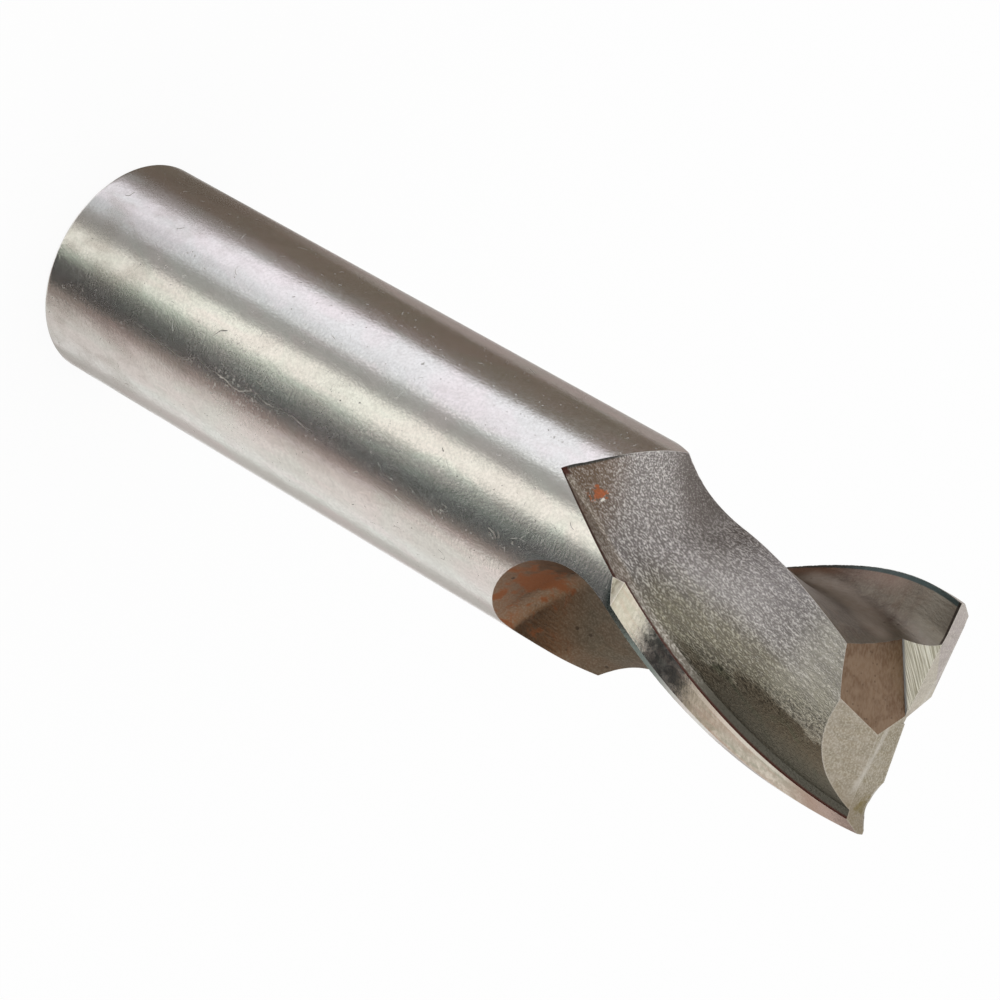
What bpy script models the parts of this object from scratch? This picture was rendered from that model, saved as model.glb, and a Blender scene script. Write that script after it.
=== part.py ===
"""A two-flute, centre-cutting end mill with a plain round shank, ground from one bar.

The tool stands on its shank end at z = 0, with its axis on +Z and its cutting end up.
At the tip the two cutting edges lie along X. The tool cuts turning from +X towards +Y.
A section is drawn on the tip plane in polar form: radius from the axis, and the angle
ahead of the first tooth's cutting edge. It then follows the helix down the tool.
"""

from math import atan2, ceil, cos, pi, radians, sin, tan

import bmesh
import bpy
from mathutils import Matrix, Vector

# Driving dimensions, in metres and degrees.

# The blank.
OVERALL_LENGTH = 0.090
SHANK_DIAMETER = 0.020
CUTTING_DIAMETER = 0.020
SHANK_EDGE_RADIUS = 0.00025
CENTRE_HOLE_DIAMETER = 0.0020
CENTRE_HOLE_MOUTH = 0.0044
CENTRE_HOLE_DEPTH = 0.0052
CENTRE_HOLE_ANGLE = 60.0

# The teeth, which are two copies of one tooth.
TEETH = 2
HELIX_ANGLE = 30.0
LAND_WIDTH = 0.00236

# The gullet is the first cut of each flute: the rake face, the root and the floor.
GULLET_LENGTH = 0.0239
GULLET_ROOT_RADIUS = 0.0058
GULLET_FILLET = 0.0010
GULLET_FLOOR_ANGLE = 118.0
GULLET_FLOOR_BEND = 14.0
GULLET_BEND_DISTANCE = 0.0075
GULLET_LIFT_ANGLE = 125.0
GULLET_LIFT_RADIUS = 0.0060

# The back is the second cut of each flute, which thins the tooth behind its land.
BACK_LENGTH = 0.0336
BACK_HEIGHT = 0.0062
BACK_SLOPE = 3.0
BACK_HEEL_SLOPE = 50.0
BACK_RADIUS = 0.0070
BACK_RUNOUT = 0.0070
BACK_EXIT_ANGLE = 32.0
BACK_EXIT_BOW = 0.0015
HEEL_STEP = 0.0015
HEEL_LEAN = 0.00066

# The relief of the land behind the narrow margin at the cutting edge.
MARGIN_WIDTH = 0.0006
RELIEF_DROP = 0.0007
RELIEF_LENGTH = 0.0233
RELIEF_RUNOUT = 0.0010

# The gash that opens each end edge to the centre: a wall under the edge, and a floor.
GASH_ANGLE = 29.0
GASH_FLOOR_SLOPE = 22.0
GASH_CENTRE_DEPTH = 0.00054
CHISEL_WIDTH = 0.00032

# The end faces.
DISH_ANGLE = 2.0
END_CLEARANCE = 8.0
END_LAND_WIDTH = 0.0028
END_SECOND_CLEARANCE = 35.0
CENTRE_RELIEF_START = 0.0062
CENTRE_RELIEF_SKEW = 36.0
CENTRE_RELIEF_SLOPE = 3.2
CENTRE_OVERRUN = 0.0003

# How finely the round forms are divided.
BLANK_STEPS = 120
TURN_PER_STATION = 5.0
RUNOUT_STATIONS = 12
FILLET_STEPS = 4
BACK_ARC_STEPS = 5
BACK_FLAT_STEPS = 4

# How far the cutters reach past the surface they cut, in parts of the larger radius.
CUTTER_REACH = 1.3
OUTER_REACH = 2.1
LIFT_REACH = 1.25
RELIEF_REACH = 0.2
PAST_RUNOUT = 1.1
PAST_DROP = 1.3
PAST_RIM = 1.5
CROWN_ANGLES = (100.0, 50.0, 5.0)

# Values that follow from the sizes above.
SHANK_RADIUS = SHANK_DIAMETER / 2
CUTTING_RADIUS = CUTTING_DIAMETER / 2
LARGER_RADIUS = max(SHANK_RADIUS, CUTTING_RADIUS)
CLEAR_RADIUS = CUTTER_REACH * LARGER_RADIUS
OUTER_RADIUS = OUTER_REACH * LARGER_RADIUS
PAST_TIP = 0.1 * CUTTING_DIAMETER
TWIST = tan(radians(HELIX_ANGLE)) / CUTTING_RADIUS
STATION_STEP = radians(TURN_PER_STATION) / TWIST
PITCH = 2 * pi / TEETH
HEEL_ANGLE = PITCH - LAND_WIDTH / CUTTING_RADIUS

STEEL_COLOUR = (0.46, 0.44, 0.41, 1.0)
STEEL_ROUGHNESS = 0.32
UP = Vector((0, 0, 1))


def clear_scene():
    for old in list(bpy.data.objects):
        bpy.data.objects.remove(old, do_unlink=True)


def new_collection(name):
    collection = bpy.data.collections.new(name)
    bpy.context.scene.collection.children.link(collection)
    return collection


def steel_material():
    material = bpy.data.materials.new("ground_tool_steel")
    material.use_nodes = True
    shader = material.node_tree.nodes["Principled BSDF"]
    shader.inputs["Base Color"].default_value = STEEL_COLOUR
    shader.inputs["Metallic"].default_value = 1.0
    shader.inputs["Roughness"].default_value = STEEL_ROUGHNESS
    return material


def object_from(bm, name, collection):
    """Turns a bmesh into an object with its faces pointing out."""
    bmesh.ops.recalc_face_normals(bm, faces=bm.faces)
    mesh = bpy.data.meshes.new(name)
    bm.to_mesh(mesh)
    bm.free()
    made = bpy.data.objects.new(name, mesh)
    collection.objects.link(made)
    return made


def polar(radius, angle):
    return Vector((radius * cos(angle), radius * sin(angle)))


def fillet(before, corner, after, radius, steps):
    """Points of the arc that rounds a corner between two straight runs."""
    back = (before - corner).normalized()
    ahead = (after - corner).normalized()
    half = back.angle(ahead) / 2
    reach = radius / tan(half)
    middle = corner + (back + ahead).normalized() * radius / sin(half)
    start = corner + back * reach - middle
    sweep = start.angle_signed(corner + ahead * reach - middle)
    turn = -sweep / steps
    return [middle + Matrix.Rotation(turn * i, 2) @ start for i in range(steps + 1)]


def meet(point_a, way_a, point_b, way_b):
    """The point where two lines of the section cross."""
    across = way_a.x * way_b.y - way_a.y * way_b.x
    gap = point_b - point_a
    return point_a + way_a * (gap.x * way_b.y - gap.y * way_b.x) / across


def on_tool(point, depth):
    """A point of the tip section, carried down the helix to this depth below the tip."""
    turned = Matrix.Rotation(-TWIST * depth, 2) @ point
    return Vector((turned.x, turned.y, OVERALL_LENGTH - depth))


def stations(full_length, runout):
    """Depths from above the tip to the end of a cut, closer together in its runout."""
    start = -PAST_TIP
    count = max(1, ceil((full_length - start) / STATION_STEP))
    full = [start + (full_length - start) * i / count for i in range(count)]
    return full + [full_length + runout * i / RUNOUT_STATIONS for i in range(RUNOUT_STATIONS + 1)]


def loft(rings, name, collection):
    """A closed skin over rings that have the same number of points."""
    bm = bmesh.new()
    loops = [[bm.verts.new(point) for point in ring] for ring in rings]
    for upper, lower in zip(loops, loops[1:]):
        for i in range(len(upper)):
            bm.faces.new((upper[i - 1], upper[i], lower[i], lower[i - 1]))
    bm.faces.new(loops[0])
    bm.faces.new(loops[-1])
    return object_from(bm, name, collection)


def sheared_box(corner, edges, name, collection):
    """A box with its three edges along any three directions, for a cut with flat faces."""
    shear = Matrix(edges).transposed().to_4x4()
    half = Matrix.Translation((0.5, 0.5, 0.5))
    bm = bmesh.new()
    bmesh.ops.create_cube(bm, size=1, matrix=Matrix.Translation(corner) @ shear @ half)
    return object_from(bm, name, collection)


def copies_round_axis(cutter, collection):
    """The cutter and its copies, one to a tooth."""
    cutters = [cutter]
    for tooth in range(1, TEETH):
        copy = bpy.data.objects.new(f"{cutter.name}_{tooth + 1}", cutter.data)
        copy.rotation_euler.z = PITCH * tooth
        collection.objects.link(copy)
        cutters.append(copy)
    return cutters


def make_blank(collection):
    """The turned bar: the profile goes down its outer side, then into the centre hole."""
    tip = OVERALL_LENGTH
    step_height = OVERALL_LENGTH - BACK_LENGTH - abs(CUTTING_RADIUS - SHANK_RADIUS) - BACK_RUNOUT
    edge_centre = SHANK_RADIUS - SHANK_EDGE_RADIUS
    mouth = CENTRE_HOLE_MOUTH / 2
    pilot = CENTRE_HOLE_DIAMETER / 2
    cone_depth = (mouth - pilot) / tan(radians(CENTRE_HOLE_ANGLE / 2))
    profile = [(0, tip), (CUTTING_RADIUS, tip)]
    if CUTTING_DIAMETER != SHANK_DIAMETER:
        profile += [(CUTTING_RADIUS, step_height + abs(CUTTING_RADIUS - SHANK_RADIUS))]
        profile += [(SHANK_RADIUS, step_height)]
    for step in range(FILLET_STEPS + 1):
        turn = pi / 2 * step / FILLET_STEPS
        out = edge_centre + SHANK_EDGE_RADIUS * cos(turn)
        profile.append((out, SHANK_EDGE_RADIUS * (1 - sin(turn))))
    profile += [(mouth, 0), (pilot, cone_depth), (pilot, CENTRE_HOLE_DEPTH)]
    drill_point = pilot * tan(radians(90 - CENTRE_HOLE_ANGLE))
    profile += [(0, CENTRE_HOLE_DEPTH + drill_point)]

    mesh = bpy.data.meshes.new("endmill")
    points = [(radius, 0, height) for radius, height in profile]
    mesh.from_pydata(points, [(i, i + 1) for i in range(len(points) - 1)], [])
    blank = bpy.data.objects.new("endmill", mesh)
    collection.objects.link(blank)
    turned = blank.modifiers.new("turned", "SCREW")
    turned.steps = BLANK_STEPS
    turned.render_steps = BLANK_STEPS
    turned.use_merge_vertices = True
    turned.merge_threshold = 0.00001
    return blank


def gullet_section():
    """The gullet's outline: down the rake face, round the root and out along the floor."""
    root = Vector((GULLET_ROOT_RADIUS, 0))
    outside = Vector((CLEAR_RADIUS, 0))
    floor_way = polar(1, radians(GULLET_FLOOR_ANGLE))
    bend = root + floor_way * GULLET_BEND_DISTANCE
    far_way = polar(1, radians(GULLET_FLOOR_ANGLE + GULLET_FLOOR_BEND))
    far_end = bend + far_way * CLEAR_RADIUS
    crown = [polar(OUTER_RADIUS, radians(angle)) for angle in CROWN_ANGLES]
    return [outside] + fillet(outside, root, bend, GULLET_FILLET, FILLET_STEPS) + [bend, far_end] + crown


def make_gullet_cutter(collection):
    """The gullet follows the helix, then the wheel lifts away and leaves a rounded end."""
    section = gullet_section()
    lift_way = polar(1, radians(GULLET_LIFT_ANGLE))
    runout = (2 * GULLET_LIFT_RADIUS * LIFT_REACH * LARGER_RADIUS) ** 0.5
    rings = []
    for depth in stations(GULLET_LENGTH, runout):
        past = max(0.0, depth - GULLET_LENGTH)
        lift = lift_way * past * past / (2 * GULLET_LIFT_RADIUS)
        rings.append([on_tool(point + lift, depth) for point in section])
    return loft(rings, "gullet_cutter", collection)


def back_section():
    """The back's outline, each point with the place where it comes out on the round."""
    rim = polar(CUTTING_RADIUS, HEEL_ANGLE)
    foot = polar(CUTTING_RADIUS - HEEL_STEP, HEEL_ANGLE - HEEL_LEAN / CUTTING_RADIUS)
    heel_way = polar(1, radians(BACK_HEEL_SLOPE))
    crest = Vector((0, BACK_HEIGHT))
    flat_way = polar(1, radians(BACK_SLOPE))
    corner = meet(crest, flat_way, foot, heel_way)
    start = crest + flat_way * GULLET_ROOT_RADIUS
    arc = fillet(start, corner, foot, BACK_RADIUS, BACK_ARC_STEPS)
    flat = [start.lerp(arc[0], i / BACK_FLAT_STEPS) for i in range(BACK_FLAT_STEPS)]
    return [(point, point.normalized() * CUTTING_RADIUS) for point in flat + arc] + [(foot, rim)]


def back_lead(exit_point):
    """How much sooner the back comes out on the round here than it does at the heel."""
    before_heel = HEEL_ANGLE - atan2(exit_point.y, exit_point.x)
    slant = tan(radians(BACK_EXIT_ANGLE)) * CUTTING_RADIUS
    return before_heel * (slant - BACK_EXIT_BOW * before_heel)


def make_back_cutter(collection):
    """The back rises to the round along a slanted, slightly bowed line."""
    section = back_section()
    foot, rim = section[-1]
    past_rim = foot.lerp(rim, PAST_RIM)
    full_length = BACK_LENGTH - BACK_RUNOUT
    rings = []
    for depth in stations(full_length, BACK_RUNOUT * PAST_RUNOUT):
        rise = max(0.0, (depth - full_length) / BACK_RUNOUT) ** 2
        inner = []
        outer = []
        for point, exit_point in section:
            own_depth = depth - back_lead(exit_point)
            inner.append(on_tool(point.lerp(exit_point, rise), own_depth))
            outer.append(on_tool(exit_point.normalized() * OUTER_RADIUS, own_depth))
        inner.append(on_tool(past_rim, depth))
        outer.append(on_tool(past_rim.normalized() * OUTER_RADIUS, depth))
        rings.append(inner + outer[::-1])
    return loft(rings, "back_cutter", collection)


def make_relief_cutter(collection):
    """The relief takes the land down from the back of the margin to the heel."""
    margin = polar(CUTTING_RADIUS, -MARGIN_WIDTH / CUTTING_RADIUS)
    heel = polar(CUTTING_RADIUS - RELIEF_DROP, -LAND_WIDTH / CUTTING_RADIUS)
    down = (heel - margin).normalized()
    outward = Vector((-down.y, down.x))
    high = margin - down * MARGIN_WIDTH
    low = heel + down * RELIEF_DROP
    reach = outward * RELIEF_REACH * LARGER_RADIUS
    section = [high, low, low + reach, high + reach]
    rings = []
    for depth in stations(RELIEF_LENGTH, RELIEF_RUNOUT):
        past = max(0.0, depth - RELIEF_LENGTH)
        lift = outward * PAST_DROP * RELIEF_DROP * past / RELIEF_RUNOUT
        rings.append([on_tool(point + lift, depth) for point in section])
    return loft(rings, "relief_cutter", collection)


def make_gash_cutter(collection):
    """The gash has an upright wall under the end edge and a floor that falls away from it."""
    along = Vector((1, 0, -tan(radians(GASH_ANGLE))))
    ahead = Vector((0, 1, -tan(radians(GASH_FLOOR_SLOPE))))
    root = Vector((0, CHISEL_WIDTH / 2, OVERALL_LENGTH - GASH_CENTRE_DEPTH))
    corner = root - along * CLEAR_RADIUS
    edges = (along * 2 * CLEAR_RADIUS, ahead * CLEAR_RADIUS, UP * 2 * CLEAR_RADIUS)
    return sheared_box(corner, edges, "gash_cutter", collection)


def end_plane_cutter(name, point, along_slope, behind_slope, first, collection):
    """Cuts the end down to a plane, from the place first along the edge to its corner."""
    along = Vector((1, 0, along_slope))
    behind = Vector((0, -1, -behind_slope))
    corner = point + along * first - behind * CLEAR_RADIUS
    edges = (along * (CLEAR_RADIUS - first), behind * 2 * CLEAR_RADIUS, UP * CLEAR_RADIUS)
    return sheared_box(corner, edges, name, collection)


def make_end_cutters(collection):
    """The first clearance, the second behind it, and the relief near the centre."""
    dish = tan(radians(DISH_ANGLE))
    clearance = tan(radians(END_CLEARANCE))
    second = tan(radians(END_SECOND_CLEARANCE))
    centre = Vector((0, 0, OVERALL_LENGTH - dish * CUTTING_RADIUS))
    land_back = centre + Vector((0, -1, -clearance)) * END_LAND_WIDTH

    skew = radians(CENTRE_RELIEF_SKEW)
    drop = tan(radians(CENTRE_RELIEF_SLOPE))
    low_centre = centre - UP * drop * sin(skew) * CENTRE_RELIEF_START
    low_dish = dish + drop * sin(skew)
    low_clearance = clearance - drop * cos(skew)
    over = -CENTRE_OVERRUN
    return [
        end_plane_cutter("first_clearance_cutter", centre, dish, clearance, over, collection),
        end_plane_cutter("second_clearance_cutter", land_back, dish, second, -CLEAR_RADIUS, collection),
        end_plane_cutter("low_centre_cutter", low_centre, low_dish, low_clearance, over * 2, collection),
    ]


def cut(target, cutters):
    for cutter in cutters:
        cutter.hide_render = True
        cutter.display_type = "WIRE"
        boolean = target.modifiers.new(cutter.name, "BOOLEAN")
        boolean.operation = "DIFFERENCE"
        boolean.solver = "EXACT"
        boolean.object = cutter


def main():
    clear_scene()
    tool_parts = new_collection("endmill_parts")
    grinding = new_collection("endmill_cutters")
    endmill = make_blank(tool_parts)
    endmill.data.materials.append(steel_material())
    shapes = [
        make_relief_cutter(grinding),
        make_gullet_cutter(grinding),
        make_back_cutter(grinding),
        make_gash_cutter(grinding),
        *make_end_cutters(grinding),
    ]
    for shape in shapes:
        cut(endmill, copies_round_axis(shape, grinding))


main()
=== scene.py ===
"""The looks of a worn two-flute end mill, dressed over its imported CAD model.

The tool stands on its shank end at z = 0, with its axis on +Z and its cutting end up.
Each surface is cut as on the grinding machine, and each cut leaves its own finish.
"""

from math import atan2, ceil, cos, pi, radians, sin, tan

import bmesh
import bpy
from mathutils import Matrix, Vector


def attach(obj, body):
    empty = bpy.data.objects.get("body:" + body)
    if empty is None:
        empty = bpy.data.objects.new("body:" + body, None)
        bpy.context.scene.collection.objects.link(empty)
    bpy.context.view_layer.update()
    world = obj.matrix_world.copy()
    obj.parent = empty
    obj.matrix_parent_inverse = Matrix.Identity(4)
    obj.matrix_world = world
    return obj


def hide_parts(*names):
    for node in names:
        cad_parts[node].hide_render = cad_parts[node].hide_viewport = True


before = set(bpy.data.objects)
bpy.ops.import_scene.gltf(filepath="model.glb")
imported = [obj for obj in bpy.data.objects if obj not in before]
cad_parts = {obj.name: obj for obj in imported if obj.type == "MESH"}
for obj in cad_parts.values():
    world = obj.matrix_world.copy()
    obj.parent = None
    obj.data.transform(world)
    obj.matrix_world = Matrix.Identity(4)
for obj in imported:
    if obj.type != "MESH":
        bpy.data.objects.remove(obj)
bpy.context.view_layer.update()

# The tool's sizes, as in its CAD model, in metres and degrees.
LENGTH = 0.090
RADIUS = 0.010
SHANK_EDGE = 0.00025
HOLE_MOUTH = 0.0022
HOLE_PILOT = 0.0010
HOLE_CONE = 0.0020785
HOLE_DEPTH = 0.0052
HOLE_POINT = 0.00057735

TWIST = tan(radians(30.0)) / RADIUS
LAND_WIDTH = 0.00236
HEEL_ANGLE = pi - LAND_WIDTH / RADIUS

GULLET_LENGTH = 0.0239
GULLET_ROOT = 0.0058
GULLET_FILLET = 0.0028
GULLET_FLOOR_ANGLE = 118.0
GULLET_FLOOR_BEND = 14.0
GULLET_BEND_DISTANCE = 0.0075
GULLET_BEND_RADIUS = 0.0060
GULLET_LIFT_ANGLE = 125.0
GULLET_LIFT_RADIUS = 0.0060

BACK_LENGTH = 0.0336
BACK_HEIGHT = 0.0062
BACK_SLOPE = 3.0
BACK_HEEL_SLOPE = 50.0
BACK_RADIUS = 0.0070
BACK_RUNOUT = 0.0070
BACK_EXIT_ANGLE = 32.0
BACK_EXIT_BOW = 0.0015
HEEL_STEP = 0.0015
HEEL_LEAN = 0.00066

MARGIN_WIDTH = 0.0006
RELIEF_DROP = 0.0007
RELIEF_LENGTH = 0.0233
RELIEF_RUNOUT = 0.0010

GASH_ANGLE = 29.0
GASH_FLOOR_SLOPE = 22.0
GASH_CENTRE_DEPTH = 0.00054
CHISEL_WIDTH = 0.00032

DISH_ANGLE = 2.0
END_CLEARANCE = 8.0
END_LAND_WIDTH = 0.0028
END_SECOND_CLEARANCE = 35.0
CENTRE_RELIEF_START = 0.0062
CENTRE_RELIEF_SKEW = 36.0
CENTRE_RELIEF_SLOPE = 3.2
CENTRE_OVERRUN = 0.0003
NICK_TILT = 17.7
NICK_BITES = ((0.0075, 0.0050, 0.00046), (0.0078, 0.0020, 0.00054))

# How finely the round forms are divided.
ROUND_STEPS = 360
TURN_STEP = radians(1.25)
RUNOUT_STEPS = 36
ROOT_STEPS = 14
BEND_STEPS = 10
BACK_FLAT_STEPS = 14
BACK_ARC_STEPS = 20
NICK_STEPS = 96
EDGE_STEPS = 5

# How far the cutters reach past the tool, in metres, and where the gullet cutter's outer
# corners stand, in degrees.
PAST_TIP = 0.002
CLEAR = 0.013
OUTSIDE = 0.021
CROWN_ANGLES = (100.0, 50.0, 5.0)
NICK_LENGTH = 0.006

# The same as shares: of the tool's radius, the relief's drop, the back's run-out and the heel's step.
LIFT_REACH = 1.25
RELIEF_REACH = 0.2
PAST_DROP = 1.3
PAST_RUNOUT = 1.1
PAST_RIM = 1.5

# What drawing, selecting and cleaning go by.
UP = Vector((0, 0, 1))
DOT_SIZE = 0.001
NEARLY = 0.99
MERGE = 0.000001
SMOOTH_ANGLE = 28.0


def start_fresh():
    """Leaves nothing selected, because an operator acts on all that is selected."""
    if bpy.context.object and bpy.context.object.mode != "OBJECT":
        bpy.ops.object.mode_set(mode="OBJECT")
    bpy.ops.object.select_all(action="DESELECT")


def work_on(piece):
    """Selects one piece and makes it the active one."""
    start_fresh()
    piece.select_set(True)
    bpy.context.view_layer.objects.active = piece


def set_origin(piece):
    """Puts the piece's place into its mesh."""
    work_on(piece)
    bpy.ops.object.transform_apply(location=True, rotation=True, scale=True)


def polar(radius, angle):
    return Vector((radius * cos(angle), radius * sin(angle)))


def fillet(before, corner, after, radius, steps):
    """Points of the arc that rounds a corner between two straight runs."""
    back = (before - corner).normalized()
    ahead = (after - corner).normalized()
    half = back.angle(ahead) / 2
    reach = radius / tan(half)
    middle = corner + (back + ahead).normalized() * radius / sin(half)
    start = corner + back * reach - middle
    turn = -start.angle_signed(corner + ahead * reach - middle) / steps
    return [middle + Matrix.Rotation(turn * i, 2) @ start for i in range(steps + 1)]


def meet(point_a, way_a, point_b, way_b):
    """Where two straight lines cross, each given by a point and a way."""
    across = way_a.x * way_b.y - way_a.y * way_b.x
    gap = point_b - point_a
    return point_a + way_a * (gap.x * way_b.y - gap.y * way_b.x) / across


def draw_line(name, points):
    """Draws a line by extruding one corner after another, and stays in edit mode. Its first
    corner is a small plane merged to its centre."""
    start_fresh()
    bpy.ops.mesh.primitive_plane_add(size=DOT_SIZE, location=points[0])
    line = bpy.context.object
    line.name = name
    bpy.ops.object.mode_set(mode="EDIT")
    bpy.ops.mesh.select_mode(type="VERT")
    bpy.ops.mesh.select_all(action="SELECT")
    bpy.ops.mesh.merge(type="CENTER")
    for here, there in zip(points, points[1:]):
        bpy.ops.mesh.extrude_vertices_move(TRANSFORM_OT_translate={"value": there - here})
    bpy.ops.mesh.select_all(action="SELECT")
    return line


def draw_face(name, points):
    """Draws an outline and fills it."""
    face = draw_line(name, points)
    bpy.ops.mesh.edge_face_add()
    return face


def extrude(step):
    """Extrudes what is selected, and moves it on by a step."""
    bpy.ops.mesh.extrude_region_move(TRANSFORM_OT_translate={"value": step})


def turn_about_axis(angle):
    """Turns what is selected about the tool's axis, anticlockwise seen from the tip."""
    bpy.ops.transform.rotate(value=-angle, orient_axis="Z", center_override=(0, 0, 0))


def finish_cutter(cutter, finish):
    """Closes the edit, points the faces out and gives the finish that this wheel leaves."""
    bpy.ops.mesh.select_all(action="SELECT")
    bpy.ops.mesh.normals_make_consistent(inside=False)
    bpy.ops.object.mode_set(mode="OBJECT")
    set_origin(cutter)
    cutter.data.materials.clear()
    cutter.data.materials.append(finish)
    return cutter


def stations(full_length, runout):
    """Depths below the tip, from above it to the end of a cut."""
    count = ceil((full_length + PAST_TIP) * TWIST / TURN_STEP)
    full = [(full_length + PAST_TIP) * i / count - PAST_TIP for i in range(count)]
    return full + [full_length + runout * i / RUNOUT_STEPS for i in range(RUNOUT_STEPS + 1)]


def sweep_down_helix(name, section, depths, lift_at, finish):
    """Extrudes a section down the helix, and moves it out by lift_at(depth) as it goes."""
    start = LENGTH - depths[0]
    cutter = draw_face(name, [Vector((point.x, point.y, start)) for point in section])
    turned = -TWIST * depths[0]
    turn_about_axis(turned)
    for here, there in zip(depths, depths[1:]):
        lift = Matrix.Rotation(turned, 2) @ (lift_at(there) - lift_at(here))
        extrude((lift.x, lift.y, here - there))
        turn_about_axis(TWIST * (here - there))
        turned += TWIST * (here - there)
    return finish_cutter(cutter, finish)


def gullet_cutter(finish):
    """The rake face, the root and the floor, with the wheel lifting away at the end."""
    root = Vector((GULLET_ROOT, 0))
    outside = Vector((CLEAR, 0))
    bend = root + polar(GULLET_BEND_DISTANCE, radians(GULLET_FLOOR_ANGLE))
    far_end = bend + polar(CLEAR, radians(GULLET_FLOOR_ANGLE + GULLET_FLOOR_BEND))
    section = [outside] + fillet(outside, root, bend, GULLET_FILLET, ROOT_STEPS)
    section += fillet(root, bend, far_end, GULLET_BEND_RADIUS, BEND_STEPS) + [far_end]
    section += [polar(OUTSIDE, radians(angle)) for angle in CROWN_ANGLES]
    runout = (2 * GULLET_LIFT_RADIUS * LIFT_REACH * RADIUS) ** 0.5
    lift_way = polar(1, radians(GULLET_LIFT_ANGLE))

    def lift_at(depth):
        past = max(0.0, depth - GULLET_LENGTH)
        return lift_way * past * past / (2 * GULLET_LIFT_RADIUS)

    depths = stations(GULLET_LENGTH, runout)
    return sweep_down_helix("gullet_cutter", section, depths, lift_at, finish)


def relief_cutter(finish):
    """The relief takes the land down from the back of the margin to the heel."""
    margin = polar(RADIUS, -MARGIN_WIDTH / RADIUS)
    heel = polar(RADIUS - RELIEF_DROP, -LAND_WIDTH / RADIUS)
    down = (heel - margin).normalized()
    outward = Vector((-down.y, down.x))
    high = margin - down * MARGIN_WIDTH
    low = heel + down * RELIEF_DROP
    reach = outward * RELIEF_REACH * RADIUS
    section = [high, low, low + reach, high + reach]

    def lift_at(depth):
        past = max(0.0, depth - RELIEF_LENGTH)
        return outward * PAST_DROP * RELIEF_DROP * past / RELIEF_RUNOUT

    depths = stations(RELIEF_LENGTH, RELIEF_RUNOUT)
    return sweep_down_helix("relief_cutter", section, depths, lift_at, finish)


def back_section():
    """The back's outline, each point with the place where it comes out on the round."""
    rim = polar(RADIUS, HEEL_ANGLE)
    foot = polar(RADIUS - HEEL_STEP, HEEL_ANGLE - HEEL_LEAN / RADIUS)
    crest = Vector((0, BACK_HEIGHT))
    flat_way = polar(1, radians(BACK_SLOPE))
    corner = meet(crest, flat_way, foot, polar(1, radians(BACK_HEEL_SLOPE)))
    start = crest + flat_way * GULLET_ROOT
    arc = fillet(start, corner, foot, BACK_RADIUS, BACK_ARC_STEPS)
    flat = [start.lerp(arc[0], i / BACK_FLAT_STEPS) for i in range(BACK_FLAT_STEPS)]
    return [(point, point.normalized() * RADIUS) for point in flat + arc] + [(foot, rim)]


def back_cutter(finish):
    """The back rises to the round along a slanted line. No extrusion gives that, so its
    rings are placed point by point."""
    section = back_section()
    foot, rim = section[-1]
    past_rim = foot.lerp(rim, PAST_RIM)
    full_length = BACK_LENGTH - BACK_RUNOUT
    slant = tan(radians(BACK_EXIT_ANGLE)) * RADIUS

    def placed(point, depth):
        turned = Matrix.Rotation(-TWIST * depth, 2) @ point
        return Vector((turned.x, turned.y, LENGTH - depth))

    made = bmesh.new()
    rings = []
    for depth in stations(full_length, BACK_RUNOUT * PAST_RUNOUT):
        rise = max(0.0, (depth - full_length) / BACK_RUNOUT) ** 2
        inner = []
        outer = []
        for point, exit_point in section:
            before_heel = HEEL_ANGLE - atan2(exit_point.y, exit_point.x)
            own_depth = depth - before_heel * (slant - BACK_EXIT_BOW * before_heel)
            inner.append(placed(point.lerp(exit_point, rise), own_depth))
            outer.append(placed(exit_point.normalized() * OUTSIDE, own_depth))
        inner.append(placed(past_rim, depth))
        outer.append(placed(past_rim.normalized() * OUTSIDE, depth))
        rings.append([made.verts.new(corner) for corner in inner + outer[::-1]])
    for upper, lower in zip(rings, rings[1:]):
        for i in range(len(upper)):
            made.faces.new((upper[i - 1], upper[i], lower[i], lower[i - 1]))
    made.faces.new(rings[0])
    made.faces.new(rings[-1])
    bmesh.ops.recalc_face_normals(made, faces=made.faces)
    mesh = bpy.data.meshes.new("back_cutter")
    made.to_mesh(mesh)
    made.free()
    cutter = bpy.data.objects.new("back_cutter", mesh)
    bpy.context.scene.collection.objects.link(cutter)
    mesh.materials.append(finish)
    return cutter


def block_cutter(name, corner, along, across, rise, finish):
    """A block with flat faces along any three directions."""
    base = [corner, corner + along, corner + along + across, corner + across]
    cutter = draw_face(name, base)
    extrude(rise)
    return finish_cutter(cutter, finish)


def gash_cutter(floor_finish, wall_finish):
    """The gash has an upright wall under the end edge and a floor that falls away."""
    along = Vector((1, 0, -tan(radians(GASH_ANGLE))))
    ahead = Vector((0, 1, -tan(radians(GASH_FLOOR_SLOPE))))
    root = Vector((0, CHISEL_WIDTH / 2, LENGTH - GASH_CENTRE_DEPTH))
    corner = root - along * CLEAR
    sides = (along * 2 * CLEAR, ahead * CLEAR, UP * 2 * CLEAR)
    cutter = block_cutter("gash_cutter", corner, *sides, floor_finish)
    cutter.data.materials.append(wall_finish)
    for face in cutter.data.polygons:
        if abs(face.normal.y) > NEARLY:
            face.material_index = 1
    return cutter


def end_cutter(name, point, along_slope, behind_slope, first, finish):
    """Cuts the end down to a plane, from the place first along the edge to its corner."""
    along = Vector((1, 0, along_slope))
    behind = Vector((0, -1, -behind_slope))
    corner = point + along * first - behind * CLEAR
    sides = (along * (CLEAR - first), behind * 2 * CLEAR, UP * CLEAR)
    return block_cutter(name, corner, *sides, finish)


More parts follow.
